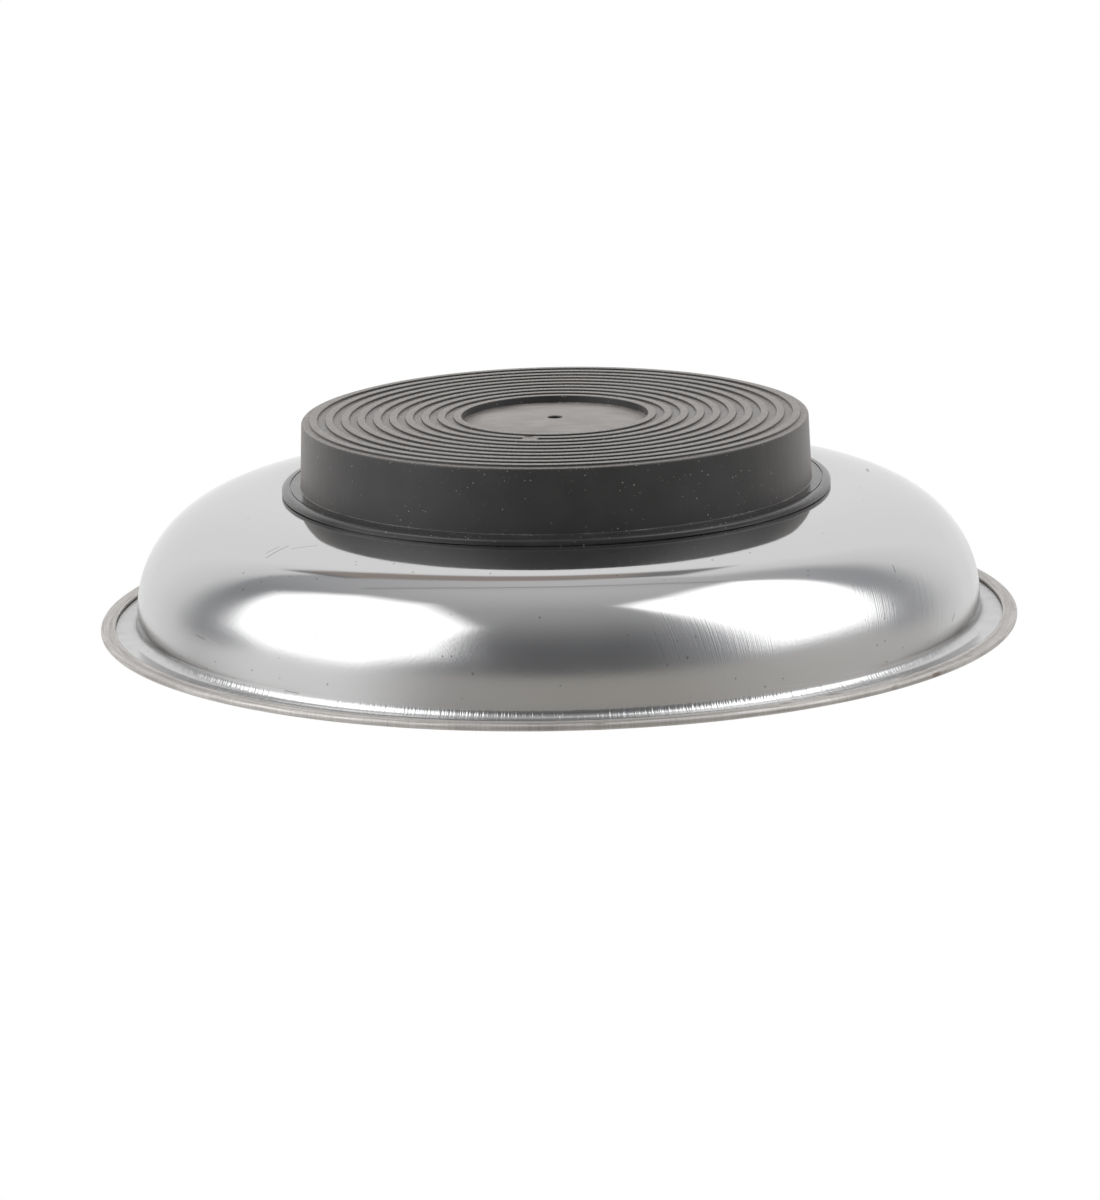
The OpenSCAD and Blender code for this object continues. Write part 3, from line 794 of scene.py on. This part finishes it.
def makeSoftboxes(setup):
    material, tree = newMaterial("softbox_cloth")
    bright = addNode(tree, "ShaderNodeAttribute", out="Fac", attribute_name="bright")
    glow = addNode(tree, "ShaderNodeEmission", {"Strength": setup["boxStrength"]})
    nothing = addNode(tree, "ShaderNodeBsdfTransparent")
    cloth = addNode(tree, "ShaderNodeMixShader", {0: bright, 1: nothing, 2: glow})
    addNode(tree, "ShaderNodeOutputMaterial", {0: cloth}, out=None)
    for name, key in (("left_softbox", "leftBox"), ("right_softbox", "rightBox")):
        outline = [Vector(point) for point in setup[key]]
        count = len(outline)
        middle = sum(outline, Vector((0, 0))) / count
        corners = [aim(*(middle + (point - middle) * share), setup["boxDistance"])
                   for share in setup["boxFade"] for point in outline]
        faces = [tuple(range(count))]
        faces += [(i, (i + 1) % count, (i + 1) % count + count, i + count) for i in range(count)]
        box = stagePanel(name, corners, faces, material)
        shine = box.data.attributes.new("bright", "FLOAT", "POINT")
        shine.data.foreach_set("value", [1] * count + [0] * count)
        box.visible_camera = False


def makeFloor(setup):
    material, tree = newMaterial("white_floor")
    glow = addNode(tree, "ShaderNodeEmission", {"Color": grey(1.0), "Strength": 1.0})
    addNode(tree, "ShaderNodeOutputMaterial", {0: glow}, out=None)
    count = setup["floorCorners"]
    turns = [2 * math.pi * i / count for i in range(count)]
    corners = [Vector((math.cos(t), math.sin(t), 0)) * setup["floorRadius"] for t in turns]
    floor = stagePanel("floor", corners, [tuple(range(count))], material)
    floor.visible_glossy = False     # the room below gives the steel what it mirrors of the floor
    floor.visible_diffuse = False
    floor.visible_shadow = False


def makeRoom(setup):
    world = bpy.data.worlds.new("studio_room")
    scene.world = world
    world.use_nodes = True
    tree = world.node_tree
    tree.nodes.clear()
    ray = addNode(tree, "ShaderNodeTexCoord", out="Generated")
    x, y, z = addNode(tree, "ShaderNodeSeparateXYZ", {0: ray}, out=None).outputs
    turn = addNode(tree, "ShaderNodeMath", {0: x, 1: y}, operation="ARCTAN2")
    rise = addNode(tree, "ShaderNodeMath", {0: z}, operation="ARCSINE")
    compass = addNode(tree, "ShaderNodeMapRange", {0: turn, 1: -math.pi, 2: math.pi})
    white, warm, cool = Vector((1, 1, 1)), Vector(setup["floorWarmth"]), Vector(setup["roomCool"])
    floorTones = [(a, white.lerp(warm, share) * level) for a, level, share in setup["floorRound"]]
    roomTones = [(a, cool * level) for a, level in setup["roomRound"]]
    floorRing, roomRing = (
        addNode(tree, "ShaderNodeValToRGB", {0: compass},
                stops=[((a + 180) / 360, (*tone, 1.0)) for a, tone in tones])
        for tones in (floorTones, roomTones))

    # Floor, room and ceiling
    horizonFrom, horizonTo = setup["horizonBlend"]
    horizon = addNode(tree, "ShaderNodeMapRange", {
        0: y, 1: horizonFrom, 2: horizonTo, 3: 0.0, 4: math.radians(setup["horizonBehind"])})
    over = addNode(tree, "ShaderNodeMath", {0: rise, 1: horizon}, operation="SUBTRACT")
    above = addNode(tree, "ShaderNodeMapRange", {
        0: over, 1: -setup["horizonBlur"], 2: setup["horizonBlur"]}, **softly)
    around = addNode(tree, "ShaderNodeMix", {0: above, 6: floorRing, 7: roomRing}, **inColour)
    zenithFrom, zenithTo = (math.radians(a) for a in setup["zenithRises"])
    high = addNode(tree, "ShaderNodeMapRange", {0: rise, 1: zenithFrom, 2: zenithTo}, **softly)
    behind, ahead = setup["zenith"]
    ceiling = addNode(tree, "ShaderNodeMapRange", {
        0: y, 1: -setup["zenithBlend"], 2: setup["zenithBlend"], 3: behind, 4: ahead})
    around = addNode(tree, "ShaderNodeMix", {0: high, 6: around, 7: ceiling}, **inColour)

    # The wall over the screen, up to the rod
    away = addNode(tree, "ShaderNodeMath", {0: y, 1: setup["leastAhead"]}, operation="MAXIMUM")
    slope = addNode(tree, "ShaderNodeMath", {0: z, 1: away}, operation="DIVIDE")
    across = addNode(tree, "ShaderNodeMath", {0: x, 1: away}, operation="DIVIDE")
    left, middle, right = (math.radians(a) for a in setup["wallTurns"])
    rodLow, rodHigh = setup["rodSlopes"]
    wall = addNode(tree, "ShaderNodeMapRange", {0: slope, 1: rodHigh, 2: rodLow})
    for lost in (left, right):
        near = addNode(tree, "ShaderNodeMapRange", {0: turn, 1: lost, 2: middle}, **softly)
        wall = addNode(tree, "ShaderNodeMath", {0: wall, 1: near}, operation="MULTIPLY")
    around = addNode(tree, "ShaderNodeMix", {0: wall, 6: around, 7: grey(setup["wall"])}, **inColour)

    # The screen, with round shoulders and a slanting top
    square = addNode(tree, "ShaderNodeMath", {0: z, 1: z}, operation="MULTIPLY")
    fourth = addNode(tree, "ShaderNodeMath", {0: square, 1: square}, operation="MULTIPLY")
    aside = addNode(tree, "ShaderNodeMath", {0: turn}, operation="ABSOLUTE")
    drawn = addNode(tree, "ShaderNodeMath", {0: fourth, 1: math.radians(setup["screenDome"]), 2: aside},
                    operation="MULTIPLY_ADD")
    half, blur = math.radians(setup["screenHalfTurn"]), math.radians(setup["screenEdgeBlur"])
    between = addNode(tree, "ShaderNodeMapRange", {0: drawn, 1: half + blur, 2: half - blur}, **softly)
    topMiddle, topSlant = setup["screenTop"]
    top = addNode(tree, "ShaderNodeMath", {0: across, 1: topSlant, 2: topMiddle}, operation="MULTIPLY_ADD")
    overTop = addNode(tree, "ShaderNodeMath", {0: slope, 1: top}, operation="SUBTRACT")
    below = addNode(tree, "ShaderNodeMapRange", {
        0: overTop, 1: setup["screenTopBlur"], 2: -setup["screenTopBlur"]}, **softly)
    screen = addNode(tree, "ShaderNodeMath", {0: between, 1: below}, operation="MULTIPLY")
    litMiddle, litSide = setup["screen"]
    lit = addNode(tree, "ShaderNodeMapRange", {
        0: drawn, 1: math.radians(setup["screenDimFrom"]), 2: half, 3: litMiddle, 4: litSide})
    around = addNode(tree, "ShaderNodeMix", {0: screen, 6: around, 7: lit}, **inColour)

    # The tube that the screen hangs on, which sags a little at its ends, and the rod
    bow = addNode(tree, "ShaderNodeMath", {0: across, 1: across}, operation="MULTIPLY")
    bowed = addNode(tree, "ShaderNodeMath", {0: bow, 1: setup["tubeSag"], 2: slope}, operation="MULTIPLY_ADD")
    start, brown, greyFrom, end = setup["tubeReach"]
    soft = setup["tubeToneBlur"]
    inner = addNode(tree, "ShaderNodeMapRange", {0: across, 1: brown - soft, 2: brown + soft})
    outer = addNode(tree, "ShaderNodeMapRange", {0: across, 1: greyFrom + soft, 2: greyFrom - soft})
    card = addNode(tree, "ShaderNodeMath", {0: inner, 1: outer}, operation="MULTIPLY")
    tubeTone = addNode(tree, "ShaderNodeMix", {
        0: card, 6: toLinear(setup["tubeEnd"]), 7: toLinear(setup["tube"])}, **inColour)
    for place, edges, ends, tone in (
            (bowed, setup["tubeSlopes"], (start, end), tubeTone),
            (slope, setup["rodSlopes"], setup["rodReach"], grey(setup["rod"]))):
        share = 1.0
        for value, limits, soft in ((place, edges, setup["barBlur"]), (across, ends, setup["barEndBlur"])):
            for limit, side in zip(limits, (soft, -soft)):
                edge = addNode(tree, "ShaderNodeMapRange", {0: value, 1: limit - side, 2: limit + side})
                share = addNode(tree, "ShaderNodeMath", {0: edge, 1: share}, operation="MULTIPLY")
        around = addNode(tree, "ShaderNodeMix", {0: share, 6: around, 7: tone}, **inColour)

    seen = addNode(tree, "ShaderNodeLightPath", out="Is Camera Ray")
    shown = addNode(tree, "ShaderNodeMix", {0: seen, 6: around, 7: grey(1.0)}, **inColour)
    sky = addNode(tree, "ShaderNodeBackground", {"Color": shown, "Strength": 1.0})
    addNode(tree, "ShaderNodeOutputWorld", {0: sky}, out=None)


makeSoftboxes(studio)
makeFloor(studio)
makeRoom(studio)
scene.view_settings.view_transform = "Standard"
scene.cycles.use_denoising = True
print("studio lit")
